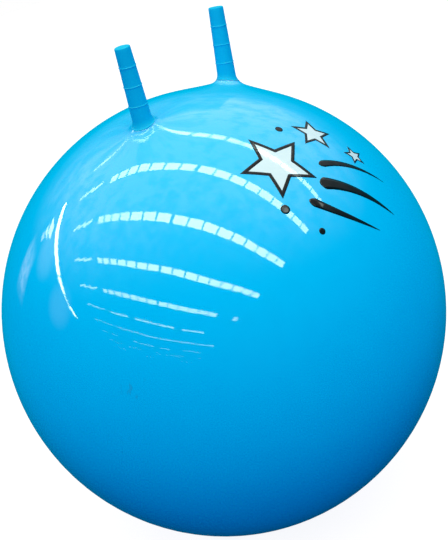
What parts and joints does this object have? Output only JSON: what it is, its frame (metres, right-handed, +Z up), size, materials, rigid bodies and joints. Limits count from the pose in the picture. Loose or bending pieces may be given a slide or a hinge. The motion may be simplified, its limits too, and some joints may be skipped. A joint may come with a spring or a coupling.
{
  "type": "inflatable hopper ball",
  "caption": "Large inflatable bouncing ball with two ringed horn handles that flex at flared necks, and a push-in air valve with its stopper.",
  "frame": {"origin": "middle of the flat patch that the ball stands on", "axes": "+Z up through the top of the ball, +X along the line from the left horn to the right horn, -Y the front"},
  "size_m": [0.5, 0.5, 0.5824],
  "materials": {
    "skin": "gloss",
    "horn": "satin",
    "valve_seat": "satin",
    "valve_plug": "satin",
    "print_pale": "gloss",
    "print_black": "gloss"
  },
  "bodies": {
    "ball": {"ball_shell": "skin", "left_handle_root": "horn", "right_handle_root": "horn", "valve_seat": "valve_seat"},
    "left_handle": {"left_handle": "horn"},
    "right_handle": {"right_handle": "horn"},
    "plug": {"valve_plug": "valve_plug"}
  },
  "joints": [
    {"name": "left_handle_flex", "type": "hinge", "parent": "ball", "child": "left_handle", "pos_m": [-0.0737, 0.00052, 0.5056], "axis": [1, 0, 0], "range_deg": [-25, 25], "stiffness_Nm_per_rad": 2, "deforming": ["left_handle_root"]},
    {"name": "right_handle_flex", "type": "hinge", "parent": "ball", "child": "right_handle", "pos_m": [0.0737, 0.00052, 0.5056], "axis": [1, 0, 0], "range_deg": [-25, 25], "stiffness_Nm_per_rad": 2, "deforming": ["right_handle_root"]},
    {"name": "valve_plug_pull", "type": "slide", "parent": "ball", "child": "plug", "axis": [0, 0.8134, 0.5817], "range_m": [0, 0.02]}
  ]
}
